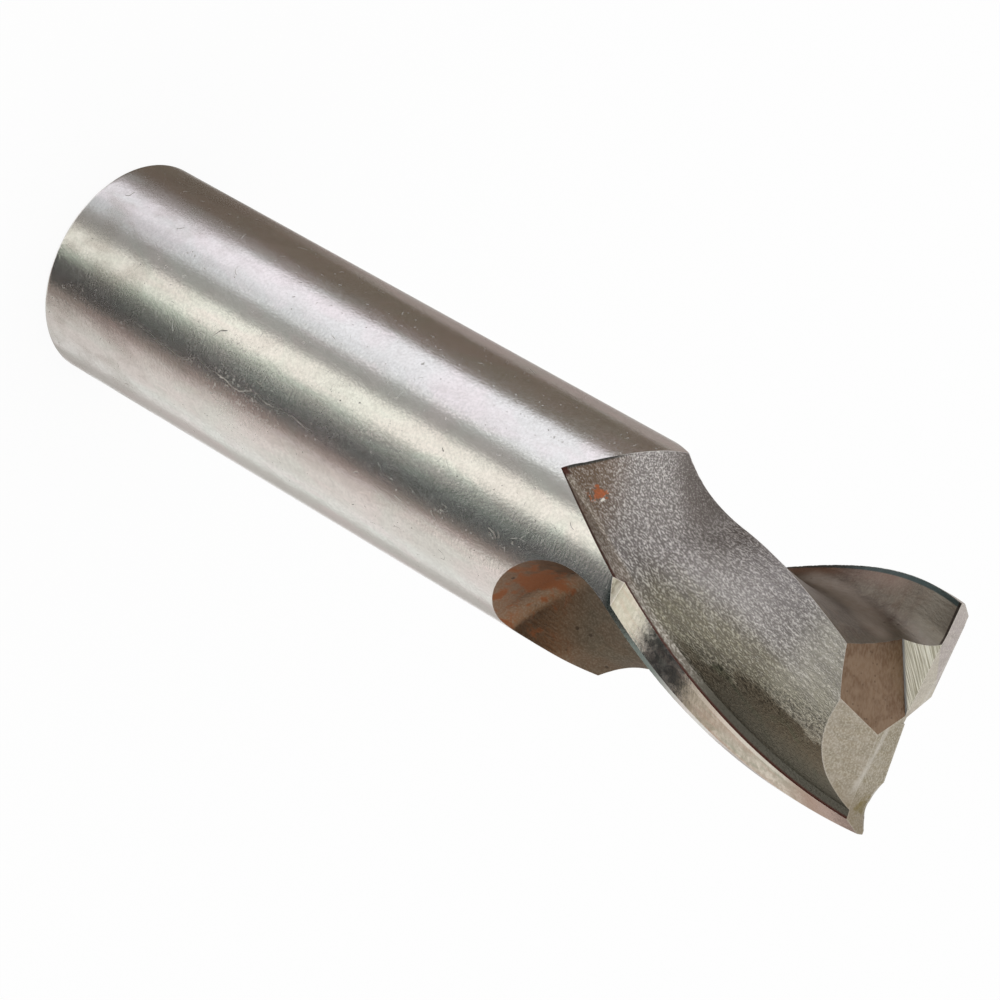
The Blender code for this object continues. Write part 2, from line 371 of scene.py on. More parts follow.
def end_cutters(finish, second_finish):
    """Three planes for each tooth's end: two clearances, and the lower part at the centre."""
    dish = tan(radians(DISH_ANGLE))
    clearance = tan(radians(END_CLEARANCE))
    second = tan(radians(END_SECOND_CLEARANCE))
    centre = Vector((0, 0, LENGTH - dish * RADIUS))
    land_back = centre + Vector((0, -1, -clearance)) * END_LAND_WIDTH
    skew = radians(CENTRE_RELIEF_SKEW)
    drop = tan(radians(CENTRE_RELIEF_SLOPE))
    low_centre = centre - UP * drop * sin(skew) * CENTRE_RELIEF_START
    over = -CENTRE_OVERRUN
    low_dish = dish + drop * sin(skew)
    low_clearance = clearance - drop * cos(skew)
    return [
        end_cutter("first_clearance_cutter", centre, dish, clearance, over, finish),
        end_cutter("second_clearance_cutter", land_back, dish, second, -CLEAR, second_finish),
        end_cutter("low_centre_cutter", low_centre, low_dish, low_clearance, over * 2, finish),
    ]


def nick_cutters(finish):
    """Two overlapping round bites out of the worn end edge of the second tooth."""
    cutters = []
    for number, (middle, radius, depth) in enumerate(NICK_BITES, 1):
        edge_height = LENGTH - tan(radians(DISH_ANGLE)) * (RADIUS - middle)
        centre_height = edge_height - depth + radius / cos(radians(NICK_TILT))
        start_fresh()
        bpy.ops.mesh.primitive_cylinder_add(
            vertices=NICK_STEPS,
            radius=radius,
            depth=NICK_LENGTH,
            location=(-middle, 0, centre_height),
            rotation=(radians(NICK_TILT - 90), 0, 0),
        )
        cutter = bpy.context.object
        cutter.name = f"nick_cutter_{number}"
        bpy.ops.object.mode_set(mode="EDIT")
        cutters.append(finish_cutter(cutter, finish))
    return cutters


def select_where(piece, kind, wanted):
    """Selects, in edit mode, the edges or the faces for which wanted holds."""
    bpy.ops.mesh.select_all(action="DESELECT")
    bpy.ops.mesh.select_mode(type=kind)
    mesh = bmesh.from_edit_mesh(piece.data)
    for element in mesh.edges if kind == "EDGE" else mesh.faces:
        element.select = wanted(element)
    mesh.select_flush_mode()
    bmesh.update_edit_mesh(piece.data)


def faces_down(face):
    return face.normal.z < -NEARLY


def is_on_end_rim(edge):
    start, end = (corner.co for corner in edge.verts)
    return max(start.z, end.z) < MERGE and start.xy.length > NEARLY * RADIUS


def turned_bar(finish):
    """The ground bar: a rounded edge at the shank end, and a centre hole in that end."""
    start_fresh()
    bpy.ops.mesh.primitive_cylinder_add(
        vertices=ROUND_STEPS, radius=RADIUS, depth=LENGTH, location=(0, 0, LENGTH / 2)
    )
    bar = bpy.context.object
    bar.name = "endmill_dressed"
    set_origin(bar)
    bpy.ops.object.mode_set(mode="EDIT")
    select_where(bar, "FACE", faces_down)
    bpy.ops.mesh.inset(thickness=RADIUS - HOLE_MOUTH)
    extrude(UP * HOLE_CONE)
    narrow = HOLE_PILOT / HOLE_MOUTH
    bpy.ops.transform.resize(value=(narrow, narrow, 1), center_override=(0, 0, 0))
    extrude(UP * (HOLE_DEPTH - HOLE_CONE))
    extrude(UP * HOLE_POINT)
    bpy.ops.mesh.merge(type="CENTER")
    select_where(bar, "EDGE", is_on_end_rim)
    bpy.ops.mesh.bevel(offset=SHANK_EDGE, segments=EDGE_STEPS, affect="EDGES")
    bpy.ops.mesh.select_all(action="SELECT")
    bpy.ops.mesh.bisect(plane_co=(0, 0, 2 * SHANK_EDGE), plane_no=(0, 0, 1))
    bpy.ops.object.mode_set(mode="OBJECT")
    bar.data.materials.clear()
    bar.data.materials.append(finish)
    return bar


def cut(bar, cutters):
    """Cuts the bar with each cutter in turn, and removes the cutter."""
    for wheel in cutters:
        work_on(bar)
        bite = bar.modifiers.new(wheel.name, "BOOLEAN")
        bite.operation = "DIFFERENCE"
        bite.solver = "EXACT"
        bite.material_mode = "TRANSFER"
        bite.object = wheel
        bpy.ops.object.modifier_apply(modifier=bite.name)
        bpy.data.objects.remove(wheel, do_unlink=True)


def grind(bar, cutter):
    """Cuts with a cutter, and again half a turn round for the other tooth."""
    work_on(cutter)
    bpy.ops.object.duplicate()
    second = bpy.context.object
    second.rotation_euler.z = pi
    set_origin(second)
    cut(bar, [cutter, second])


def clean_up(piece):
    """Merges doubles, keeps each border between two finishes crisp, and smooths the rest."""
    work_on(piece)
    bpy.ops.object.mode_set(mode="EDIT")
    bpy.ops.mesh.select_all(action="SELECT")
    bpy.ops.mesh.remove_doubles(threshold=MERGE)
    bpy.ops.mesh.dissolve_degenerate(threshold=MERGE)
    bpy.ops.mesh.normals_make_consistent(inside=False)
    mesh = bmesh.from_edit_mesh(piece.data)
    for edge in mesh.edges:
        finishes = {face.material_index for face in edge.link_faces}
        edge.smooth = len(finishes) == 1
    bmesh.update_edit_mesh(piece.data)
    bpy.ops.object.mode_set(mode="OBJECT")
    bpy.ops.object.shade_smooth_by_angle(angle=radians(SMOOTH_ANGLE), keep_sharp_edges=True)


def make_tool(finishes):
    """Grinds the whole tool from the bar, in the order of the real cuts."""
    bar = turned_bar(finishes["shank"])
    grind(bar, relief_cutter(finishes["land"]))
    grind(bar, gullet_cutter(finishes["gullet"]))
    grind(bar, back_cutter(finishes["back"]))
    grind(bar, gash_cutter(finishes["gash floor"], finishes["gash wall"]))
    for cutter in end_cutters(finishes["end"], finishes["second end"]):
        grind(bar, cutter)
    cut(bar, nick_cutters(finishes["end"]))
    clean_up(bar)
    return bar


# Finishes. Each effect that takes several nodes is in a shader node group.

def opaque(colour):
    """A plain colour with its alpha, or the socket that a colour comes from."""
    return (*colour, 1) if isinstance(colour, tuple) else colour


class Nodes:
    """Adds nodes to one shader tree and joins them. Masks are values from 0 to 1."""

    def __init__(self, tree):
        self.tree = tree

    def set_sockets(self, node, values):
        for socket, value in values.items():
            if isinstance(value, bpy.types.NodeSocket):
                self.tree.links.new(value, node.inputs[socket])
            else:
                node.inputs[socket].default_value = value

    def add(self, kind, values=None, **settings):
        node = self.tree.nodes.new("ShaderNode" + kind)
        for setting, value in settings.items():
            setattr(node, setting, value)
        self.set_sockets(node, values or {})
        return node

    def use(self, group, **values):
        """Places a node group, with this finish's own values in its named sockets."""
        node = self.tree.nodes.new("ShaderNodeGroup")
        node.node_tree = group
        self.set_sockets(node, values)
        return node.outputs

    def math(self, operation, *values):
        return self.add("Math", dict(enumerate(values)), operation=operation).outputs[0]

    def times(self, product, *others):
        for other in others:
            product = self.math("MULTIPLY", product, other)
        return product

    def total(self, base, *parts):
        """A base value, with each of several masks added by its own gain."""
        for mask, gain in parts:
            base = self.math("MULTIPLY_ADD", mask, gain, base)
        return base

    def off(self, value, middle):
        """How far a value is from a middle one."""
        return self.math("ABSOLUTE", self.math("SUBTRACT", value, middle))

    def fade(self, value, start, end):
        """Goes smoothly from 0 at start to 1 at end."""
        sockets = {0: value, 1: start, 2: end, 3: 0.0, 4: 1.0}
        return self.add("MapRange", sockets, interpolation_type="SMOOTHSTEP").outputs[0]

    def split(self, vector):
        return tuple(self.add("SeparateXYZ", {0: vector}).outputs)

    def noise(self, place, scale, detail, wobble=0.0):
        sockets = {"Vector": place, "Scale": scale, "Detail": detail, "Distortion": wobble}
        return self.add("TexNoise", sockets).outputs[0]

    def blend(self, mask, under, over):
        """Goes from one colour to another by a mask."""
        sockets = {0: mask, 6: opaque(under), 7: opaque(over)}
        return self.add("Mix", sockets, data_type="RGBA", clamp_factor=True).outputs[2]

    def lay(self, colour, *layers):
        """Lays colours over one another, each with its mask and its strength."""
        for mask, strength, over in layers:
            colour = self.blend(self.times(mask, strength), colour, over)
        return colour


def new_group(name, inputs, outputs):
    """An empty shader node group, with a value for each input and a kind for each output."""
    group = bpy.data.node_groups.new(name, "ShaderNodeTree")
    for socket_name, value in inputs.items():
        kind = "NodeSocketVector" if isinstance(value, tuple) else "NodeSocketFloat"
        socket = group.interface.new_socket(socket_name, in_out="INPUT", socket_type=kind)
        socket.default_value = value
    for socket_name, kind in outputs.items():
        kind = "NodeSocket" + kind
        group.interface.new_socket(socket_name, in_out="OUTPUT", socket_type=kind)
    given = group.nodes.new("NodeGroupInput").outputs
    return group, Nodes(group), given, group.nodes.new("NodeGroupOutput")


ORIGIN = (0, 0, 0)
MASK = {"Mask": "Float"}


def straightened_group():
    """Turns places on the tool back along the helix, so that the flutes run straight."""
    outputs = {"Straight": "Vector", **dict.fromkeys(("Across", "Up", "Radius", "Depth"), "Float")}
    group, nodes, _, out = new_group("straightened", {}, outputs)
    place = nodes.add("TexCoord").outputs["Object"]
    x, y, z = nodes.split(place)
    depth = nodes.math("SUBTRACT", LENGTH, z)
    turn = {"Vector": place, "Angle": nodes.times(depth, TWIST)}
    straight = nodes.add("VectorRotate", turn, rotation_type="Z_AXIS").outputs[0]
    flute_x, flute_y, _ = nodes.split(straight)
    level = nodes.add("CombineXYZ", {0: x, 1: y}).outputs[0]
    results = {
        "Straight": straight,
        "Across": nodes.times(flute_x, nodes.math("SIGN", flute_y)),
        "Up": nodes.math("ABSOLUTE", flute_y),
        "Radius": nodes.add("VectorMath", {0: level}, operation="LENGTH").outputs["Value"],
        "Depth": depth,
    }
    nodes.set_sockets(out, results)
    return group


def grain_group():
    """Noise drawn out along one way: grinding grain, hatch lines or speckle."""
    inputs = {"Place": ORIGIN, "Fineness": (1000, 1000, 1000), "Wobble": 0.0, "Low": 0.35, "High": 0.65}
    group, nodes, given, out = new_group("grain", inputs, {"Height": "Float"})
    sockets = {0: given["Place"], 1: given["Fineness"]}
    drawn = nodes.add("VectorMath", sockets, operation="MULTIPLY").outputs[0]
    noise = nodes.noise(drawn, 1.0, 3.0, given["Wobble"])
    nodes.set_sockets(out, {"Height": nodes.fade(noise, given["Low"], given["High"])})
    return group


def patch_group():
    """A ragged patch round one place, such as a rust spot or a stain."""
    inputs = {"Place": ORIGIN, "Centre": ORIGIN, "Reach": 0.002, "Ragged": 0.5, "Fineness": 900.0}
    group, nodes, given, out = new_group("patch", inputs, MASK)
    sockets = {0: given["Place"], 1: given["Centre"]}
    far = nodes.add("VectorMath", sockets, operation="DISTANCE").outputs["Value"]
    near = nodes.math("DIVIDE", far, given["Reach"])
    noise = nodes.noise(given["Place"], given["Fineness"], 4.0)
    rough = nodes.times(nodes.math("SUBTRACT", noise, 0.5), given["Ragged"])
    nodes.set_sockets(out, {"Mask": nodes.fade(nodes.total(near, (rough, 4.0)), 1.1, 0.55)})
    return group


def pits_group():
    """Small round pits, only in some cells of a scattered grid."""
    inputs = {"Place": ORIGIN, "Fineness": 700.0, "Share": 0.3, "Size": 0.14}
    group, nodes, given, out = new_group("pits", inputs, MASK)
    sockets = {"Vector": given["Place"], "Scale": given["Fineness"]}
    cells = nodes.add("TexVoronoi", sockets).outputs
    chance = nodes.add("SeparateColor", {0: cells["Color"]}).outputs[0]
    chosen = nodes.math("LESS_THAN", chance, given["Share"])
    dot = nodes.fade(nodes.math("DIVIDE", cells["Distance"], given["Size"]), 1.0, 0.5)
    nodes.set_sockets(out, {"Mask": nodes.times(dot, chosen)})
    return group


def scratches_group():
    """Thin curved scratches: the contour lines of one noise, broken up by another."""
    inputs = {"Place": ORIGIN, "Fineness": 250.0, "Width": 0.01, "Rarity": 0.6}
    group, nodes, given, out = new_group("scratches", inputs, MASK)
    off = nodes.off(nodes.noise(given["Place"], given["Fineness"], 1.0), 0.5)
    line = nodes.fade(nodes.math("DIVIDE", off, given["Width"]), 1.0, 0.3)
    breaks = nodes.noise(given["Place"], nodes.times(given["Fineness"], 1.7), 2.0)
    some = nodes.fade(nodes.math("SUBTRACT", breaks, given["Rarity"]), 0.0, 0.03)
    nodes.set_sockets(out, {"Mask": nodes.times(line, some)})
    return group


def edge_wear_and_highlight_group():
    """Where the metal turns sharply within a small width, as along a burr, a worn edge or a crease.
    Lightened there, it is partly wear and partly a painted edge highlight.
    """
    group, nodes, given, out = new_group("edge_wear_and_highlight", {"Width": 0.0001}, MASK)
    normal = nodes.add("NewGeometry").outputs["Normal"]
    rounded = nodes.add("Bevel", {"Radius": given["Width"]}, samples=6).outputs[0]
    sockets = {0: normal, 1: rounded}
    same = nodes.add("VectorMath", sockets, operation="DOT_PRODUCT").outputs["Value"]
    nodes.set_sockets(out, {"Mask": nodes.fade(same, 0.9985, 0.975)})
    return group


STRAIGHTENED = straightened_group()
GRAIN = grain_group()
PATCH = patch_group()
PITS = pits_group()
SCRATCHES = scratches_group()
EDGE_WEAR_AND_HIGHLIGHT = edge_wear_and_highlight_group()


class Finish(Nodes):
    """A bare metal material in the making. Places and widths are in metres on the tool."""

    def __init__(self, name):
        self.material = bpy.data.materials.new(name)
        self.material.use_nodes = True
        super().__init__(self.material.node_tree)
        self.shader = self.tree.nodes["Principled BSDF"].inputs
        self.shader["Metallic"].default_value = 1.0
        self.place = self.add("TexCoord").outputs["Object"]

    def grain(self, fineness, low, high, wobble=0.0, along=None):
        """Noise of this fineness, the same every way or not, on the place or along a flute."""
        values = {"Place": self.place if along is None else along, "Wobble": wobble}
        values["Fineness"] = fineness if isinstance(fineness, tuple) else (fineness,) * 3
        return self.use(GRAIN, **values, Low=low, High=high)[0]

    def patch(self, centre, reach, ragged, fineness=900.0):
        values = {"Centre": centre, "Reach": reach, "Ragged": ragged, "Fineness": fineness}
        return self.use(PATCH, Place=self.place, **values)[0]

    def pits(self, fineness, share, size):
        return self.use(PITS, Place=self.place, Fineness=fineness, Share=share, Size=size)[0]

    # Sharp edges and creases are lightened with this mask: partly wear, partly a painted edge
    # highlight.
    def edge_wear_and_highlight(self, width):
        return self.use(EDGE_WEAR_AND_HIGHLIGHT, Width=width)[0]

    def complete(self, colour, roughness, *bumps):
        """Joins the colour, the roughness and the bumps, each with its height and strength."""
        normal = {}
        for mask, height, strength in bumps:
            sockets = {"Height": mask, "Distance": height, "Strength": strength, **normal}
            normal = {"Normal": self.add("Bump", sockets).outputs[0]}
        joined = {"Base Color": colour, "Roughness": roughness, **normal}
        for socket, value in joined.items():
            self.tree.links.new(value, self.shader[socket])
        return self.material


def shank_finish():
    """The ground and polished round: fine speckle, pits and scratches, greyer at its end, with a
    painted dark teal reflection band by the flutes.
    """
    shank = Finish("ground_shank_steel")
    x, y, height = shank.split(shank.place)
    rings = shank.grain((900, 900, 4200), 0.25, 0.75)
    speckle = shank.grain(4200, 0.3, 0.7)
    waves = shank.grain((230, 230, 150), 0.2, 0.8)
    tint = shank.grain((300, 300, 120), 0.35, 0.65, wobble=1.0)
    blotch = shank.grain((1100, 1100, 700), 0.45, 0.7, wobble=0.8)
    groups = shank.grain(260, 0.42, 0.62)
    in_groups = shank.total(0.25, (groups, 0.75))
    pits = shank.times(shank.grain((2700, 2700, 2300), 0.68, 0.73), in_groups)
    lines = {"Place": shank.place, "Fineness": 330.0, "Width": 0.005, "Rarity": 0.64}
    marks = shank.math("MAXIMUM", pits, shank.use(SCRATCHES, **lines)[0])
    near_end = shank.fade(height, 0.022, 0.003)
    stain = shank.grain((420, 420, 260), 0.42, 0.62)
    stain = shank.times(stain, shank.total(0.05, (near_end, 0.22)))
    smear = shank.patch((0.0006, 0.0100, 0.0335), 0.0038, 0.45, 330.0)
    scuff = shank.patch((-0.0018, 0.0098, 0.0240), 0.0048, 0.7, 420.0)
    flecks = shank.times(scuff, shank.grain(3600, 0.58, 0.66))
    wander = shank.grain((60, 60, 300), 0.25, 0.75)
    off_line = shank.off(x, shank.total(-0.0021, (wander, 0.0009)))
    long_scratch = shank.times(
        shank.fade(off_line, 0.00007, 0.00002),
        shank.math("GREATER_THAN", y, 0.0),
        shank.fade(height, 0.010, 0.013),
        shank.fade(height, 0.034, 0.030),
        in_groups,
    )
    # By the flutes the round is painted dark teal: a painted reflection of dark surroundings, not the
    # steel's colour.
    painted_reflection_band = shank.times(shank.fade(height, 0.0655, 0.0665), shank.fade(height, 0.076, 0.071))
    colour = shank.lay(
        shank.blend(tint, (0.96, 0.91, 0.89), (0.92, 0.93, 0.89)),
        (near_end, 0.28, (0.50, 0.49, 0.47)),
        (speckle, 0.13, (0.42, 0.40, 0.38)),
        (blotch, 0.12, (0.46, 0.43, 0.40)),
        (stain, 1.0, (0.36, 0.31, 0.26)),
        (marks, 0.5, (0.16, 0.14, 0.12)),
        # Lightened sharp edges: partly wear, partly a painted edge highlight.
        (shank.edge_wear_and_highlight(0.00013), 0.8, (0.92, 0.90, 0.86)),
        (long_scratch, 0.6, (1.0, 0.97, 0.92)),
        (painted_reflection_band, 0.85, (0.10, 0.16, 0.15)),
    )
    gains = ((speckle, 0.06), (stain, 0.22), (smear, 0.03), (long_scratch, 0.35))
    roughness = shank.total(0.18, *gains, (flecks, 0.30), (marks, 0.2))
    bumps = ((waves, 0.00010, 0.14), (rings, 0.000006, 0.5), (speckle, 0.000006, 0.5))
    return shank.complete(colour, roughness, *bumps, (shank.times(marks, -1.0), 0.00002, 0.6))


def back_finish():
    """The coarse back: fine bright grain along the helix and stained parts, with painted light: a
    smoother dark band of painted reflection and shade, painted glints and a painted sheen near the tip.
    """
    back = Finish("back_steel")
    straight, across, up, radius, depth = back.use(STRAIGHTENED)
    ease = {"Vector": straight, "Angle": back.times(depth, -0.45 * TWIST)}
    eased = back.add("VectorRotate", ease, rotation_type="Z_AXIS").outputs[0]
    worms = back.grain((8600, 8600, 3400), 0.44, 0.66, wobble=0.1, along=eased)
    streaks = back.grain((3000, 3000, 260), 0.38, 0.64, wobble=0.1, along=eased)
    fine = back.grain((9000, 9000, 5000), 0.45, 0.7, along=straight)
    clouds = back.grain((330, 330, 160), 0.35, 0.65, wobble=1.0, along=straight)
    green = back.grain((420, 420, 200), 0.5, 0.72, wobble=1.5, along=straight)

    def part(side_fade, depth_fade):
        """A part of the back, faded out to one side and along the flute."""
        return back.times(back.fade(*side_fade), back.fade(depth, *depth_fade))

    wander = back.total(-0.0006, (clouds, 0.0012))
    slant = back.math("ADD", back.total(across, (depth, 0.25)), wander)
    olive_part = part((slant, 0.0006, -0.0022), (0.0245, 0.0185))
    # Towards the heel near the tip the back is painted dark olive-green: a painted reflection of dark
    # surroundings.
    painted_dark_reflection = part((slant, -0.0030, -0.0040), (0.0195, 0.0150))
    corner_part = part((across, -0.0052, -0.0085), (0.0255, 0.0300))
    ridge_part = part((across, -0.0030, -0.0006), (0.0205, 0.0240))
    # Darker still by the heel wall near the tip: painted shade.
    painted_shade_near_wall = part((across, -0.0058, -0.0080), (0.0150, 0.0100))
    low_rim = part((radius, 0.00893, 0.00912), (0.0238, 0.0232))
    wall = back.times(back.fade(across, -0.0078, -0.0082), back.fade(up, 0.0031, 0.0027))
    red_part = back.times(wall, back.fade(depth, 0.0215, 0.0245))
    rim = back.math("MAXIMUM", low_rim, back.fade(radius, 0.0096, 0.0098))
    # Along the back's outer edge by the heel it is painted nearly black: a painted reflection of dark
    # surroundings.
    painted_dark_edge_line = (back.fade(radius, 0.00985, 0.00994), back.fade(across, -0.0056, -0.0076))
    # The back's sharp edges are lightened: partly wear, partly a painted edge highlight.
    edge = back.times(back.edge_wear_and_highlight(0.00012), back.fade(across, -0.0072, -0.0060))
    rust = back.patch((0.0051, 0.0073, 0.0600), 0.00062, 1.0, 2200.0)
    rust = back.times(rust, back.total(0.55, (worms, 0.35)))
    speck = back.patch((0.0049, 0.0073, 0.0606), 0.00020, 0.8, 4000.0)

    silver = back.blend(worms, (0.235, 0.215, 0.205), (0.70, 0.665, 0.645))
    olive = back.blend(worms, (0.165, 0.145, 0.092), (0.50, 0.46, 0.34))
    painted_dark_colour = back.lay(
        back.blend(fine, (0.165, 0.140, 0.104), (0.235, 0.205, 0.155)),
        (green, 0.35, (0.11, 0.155, 0.10)),
        (painted_shade_near_wall, 0.8, (0.142, 0.140, 0.118)),
    )
    # The heel wall's colour carries painted light: its upper part is lightened to make up for the dark
    # it reflects, and towards the tip it is darker.
    painted_wall_tone = back.lay(
        back.blend(worms, (0.24, 0.215, 0.18), (0.66, 0.62, 0.56)),
        (back.fade(depth, 0.0185, 0.0120), 1.0, (0.100, 0.094, 0.076)),
        (red_part, 0.35, (0.34, 0.25, 0.20)),
    )
    # Painted glints: bright specks where both grains peak, left out of the painted dark band.
    painted_glints = back.times(worms, fine, 0.5, back.math("SUBTRACT", 1.0, painted_dark_reflection))
    colour = back.lay(
        silver,
        (olive_part, 1.0, olive),
        (back.fade(depth, 0.0225, 0.0180), 0.16, (0.86, 0.83, 0.79)),
        # A painted sheen: the back is lightened near the tip.
        (back.fade(depth, 0.0105, 0.0060), 0.32, (0.86, 0.83, 0.72)),
        (streaks, 0.34, (0.15, 0.13, 0.12)),
        (ridge_part, 0.85, (0.165, 0.142, 0.130)),
        (corner_part, 0.7, (0.17, 0.105, 0.06)),
        (painted_dark_reflection, 1.0, painted_dark_colour),
        (painted_glints, 1.0, (0.86, 0.83, 0.78)),
        (wall, 0.85, painted_wall_tone),
        (back.times(*painted_dark_edge_line), 0.85, (0.035, 0.042, 0.042)),
        (back.times(rim, wall), 0.9, (0.070, 0.020, 0.015)),
        (edge, 0.75, (0.85, 0.80, 0.78)),
        (rust, 1.0, (0.60, 0.16, 0.05)),
        (speck, 1.0, (0.85, 0.80, 0.74)),
    )
    roughness = back.total(0.32, (fine, 0.10), (rust, 0.3))
    return back.complete(colour, roughness, (worms, 0.00005, 0.40), (fine, 0.00002, 0.4))


def gullet_finish():
    """The gullet and rake face: brown, faintly grained, with rust where the cut runs out, a painted
    lighter streak along the root and a painted dark reflection along the outer rim.
    """
    gullet = Finish("gullet_steel")
    straight, across, up, radius, depth = gullet.use(STRAIGHTENED)
    faint = gullet.grain((3600, 3600, 1300), 0.3, 0.7, along=straight)
    clouds = gullet.grain(420, 0.35, 0.65, wobble=1.2)
    speckle = gullet.grain(5600, 0.42, 0.68)
    spots = gullet.pits(900.0, 0.2, 0.2)
    runout = gullet.fade(depth, 0.0295, 0.0335)
    rust = gullet.grain(650, 0.5, 0.68, wobble=0.8)
    rust = gullet.times(rust, gullet.total(0.06, (runout, 0.85)))
    bloom = gullet.times(gullet.patch((-0.0040, 0.0060, 0.0574), 0.0024, 0.6), 0.9)
    rust = gullet.math("MAXIMUM", rust, bloom)
    # Along the outer rim the gullet is painted dark teal: a painted reflection of dark surroundings.
    rim = (gullet.fade(radius, 0.00950, 0.00962), gullet.fade(depth, 0.024, 0.020))
    out_along = gullet.math("ABSOLUTE", across)
    # A lighter streak along the root is painted light, making up for the darker reflection that the
    # tool throws into the root.
    root_painted_light = gullet.times(
        gullet.fade(gullet.off(gullet.total(out_along, (depth, -0.31)), 0.00275), 0.0014, 0.0003),
        gullet.fade(up, 0.0036, 0.0024),
        gullet.fade(depth, 0.0190, 0.0165),
        gullet.fade(depth, 0.0030, 0.0050),
    )
    end_line = (gullet.fade(depth, 0.00042, 0.00030), gullet.fade(out_along, 0.0060, 0.0066))
    outer_part = gullet.times(gullet.fade(radius, 0.0076, 0.0092), gullet.fade(depth, 0.005, 0.009))
    hidden_part = gullet.times(outer_part, gullet.fade(depth, 0.0135, 0.0175))
    far_part = gullet.fade(depth, 0.0285, 0.0325)
    lobe = gullet.blend(far_part, (0.098, 0.081, 0.058), (0.178, 0.104, 0.058))
    colour = gullet.lay(
        gullet.blend(clouds, (0.118, 0.092, 0.073), (0.185, 0.155, 0.125)),
        (outer_part, 0.65, (0.245, 0.160, 0.130)),
        (hidden_part, 0.8, (0.28, 0.125, 0.065)),
        (gullet.fade(depth, 0.0065, 0.0025), 0.75, (0.33, 0.30, 0.25)),
        (root_painted_light, 0.85, (0.42, 0.355, 0.305)),
        (gullet.fade(depth, 0.0225, 0.0255), 0.85, lobe),
        (faint, 0.25, (0.21, 0.165, 0.125)),
        (speckle, 0.20, (0.36, 0.315, 0.25)),
        (rust, 0.8, (0.30, 0.105, 0.04)),
        (spots, 0.7, (0.05, 0.035, 0.025)),
        (gullet.times(*rim), 0.85, (0.03, 0.062, 0.066)),
        # Lightened sharp edges: partly wear, partly a painted edge highlight.
        (gullet.edge_wear_and_highlight(0.00010), 0.5, (0.60, 0.55, 0.50)),
        (gullet.times(*end_line), 0.85, (0.028, 0.018, 0.014)),
    )
    roughness = gullet.total(0.36, (root_painted_light, 0.15), (rust, 0.3))
    bumps = ((faint, 0.00002, 0.4), (gullet.times(spots, -1.0), 0.00003, 0.5))
    return gullet.complete(colour, roughness, *bumps)


def land_finish():
    """The relieved land: grinding lines across it, brighter at its edges."""
    land = Finish("land_steel")
    straight, _, _, radius, depth = land.use(STRAIGHTENED)
    lines = land.grain((1500, 1500, 4600), 0.3, 0.7, along=straight)
    mottle = land.grain(1500, 0.35, 0.65, wobble=0.8)
    pink = land.grain((1800, 1800, 260), 0.45, 0.7, wobble=0.5, along=straight)
    green = land.grain((1100, 1100, 330), 0.5, 0.66, wobble=0.8, along=straight)
    runout = land.fade(depth, 0.0228, 0.0238)
    near_heel = (land.fade(radius, 0.00936, 0.00932), land.fade(depth, 0.018, 0.013))
    near_heel = land.times(*near_heel, land.fade(depth, 0.0035, 0.0080))
    olive = land.blend(lines, (0.24, 0.21, 0.15), (0.50, 0.47, 0.37))
    colour = land.lay(
        land.blend(mottle, (0.56, 0.53, 0.46), (0.80, 0.75, 0.68)),
        (green, 0.45, (0.42, 0.46, 0.38)),
        (lines, 0.45, (0.36, 0.335, 0.285)),
        (pink, 0.4, (0.60, 0.42, 0.36)),
        (land.fade(depth, 0.0065, 0.0030), 0.85, (0.39, 0.26, 0.21)),
        (near_heel, 0.5, (1.0, 0.97, 0.93)),
        (land.fade(depth, 0.0185, 0.0205), 0.2, (0.98, 0.95, 0.82)),
        (runout, 1.0, olive),
        # Lightened sharp edges: partly wear, partly a painted edge highlight.
        (land.edge_wear_and_highlight(0.00010), 0.7, (0.88, 0.80, 0.74)),
    )
    return land.complete(colour, land.total(0.18, (mottle, 0.08)), (lines, 0.00002, 0.35))


def gash_floor_finish():
    """The gash floor: brown, with fine grain along the end edge."""
    floor = Finish("gash_floor_steel")
    fine = floor.grain((500, 5200, 5200), 0.3, 0.7)
    clouds = floor.grain(600, 0.38, 0.62, wobble=1.0)
    colour = floor.lay(
        floor.blend(clouds, (0.145, 0.089, 0.056), (0.21, 0.14, 0.092)),
        (fine, 0.5, (0.26, 0.19, 0.135)),
        (floor.pits(2600.0, 0.25, 0.3), 0.6, (0.08, 0.05, 0.035)),
    )
    return floor.complete(colour, floor.total(0.34, (clouds, 0.1)), (fine, 0.00002, 0.4))


def gash_wall_finish():
    """The wall under the end edge: coarse slanting grinding lines, bright and yellowish."""
    wall = Finish("gash_wall_steel")
    wall.shader["Metallic"].default_value = 0.35
    slanted = {"Vector": wall.place, "Rotation": (0, radians(-42), 0)}
    slanted = wall.add("Mapping", slanted).outputs[0]
    hatch = wall.grain((260, 260, 8200), 0.36, 0.64, wobble=0.15, along=slanted)
    fine = wall.grain((900, 900, 9000), 0.3, 0.7, along=slanted)
    x, _, height = wall.split(wall.place)
    over_root = wall.total(height, (wall.math("ABSOLUTE", x), tan(radians(GASH_ANGLE))))
    root_height = LENGTH - GASH_CENTRE_DEPTH
    # Just above the root, in the crease with the floor, the wall is painted dark: painted shade.
    painted_root_shade = wall.fade(over_root, root_height + 0.00035, root_height + 0.0001)
    colour = wall.lay(
        wall.blend(hatch, (0.50, 0.47, 0.35), (1.0, 0.98, 0.84)),
        (fine, 0.3, (0.26, 0.24, 0.19)),
        (painted_root_shade, 0.8, (0.14, 0.15, 0.17)),
    )
    return wall.complete(colour, wall.total(0.40, (fine, 0.15)), (hatch, 0.00004, 0.5))


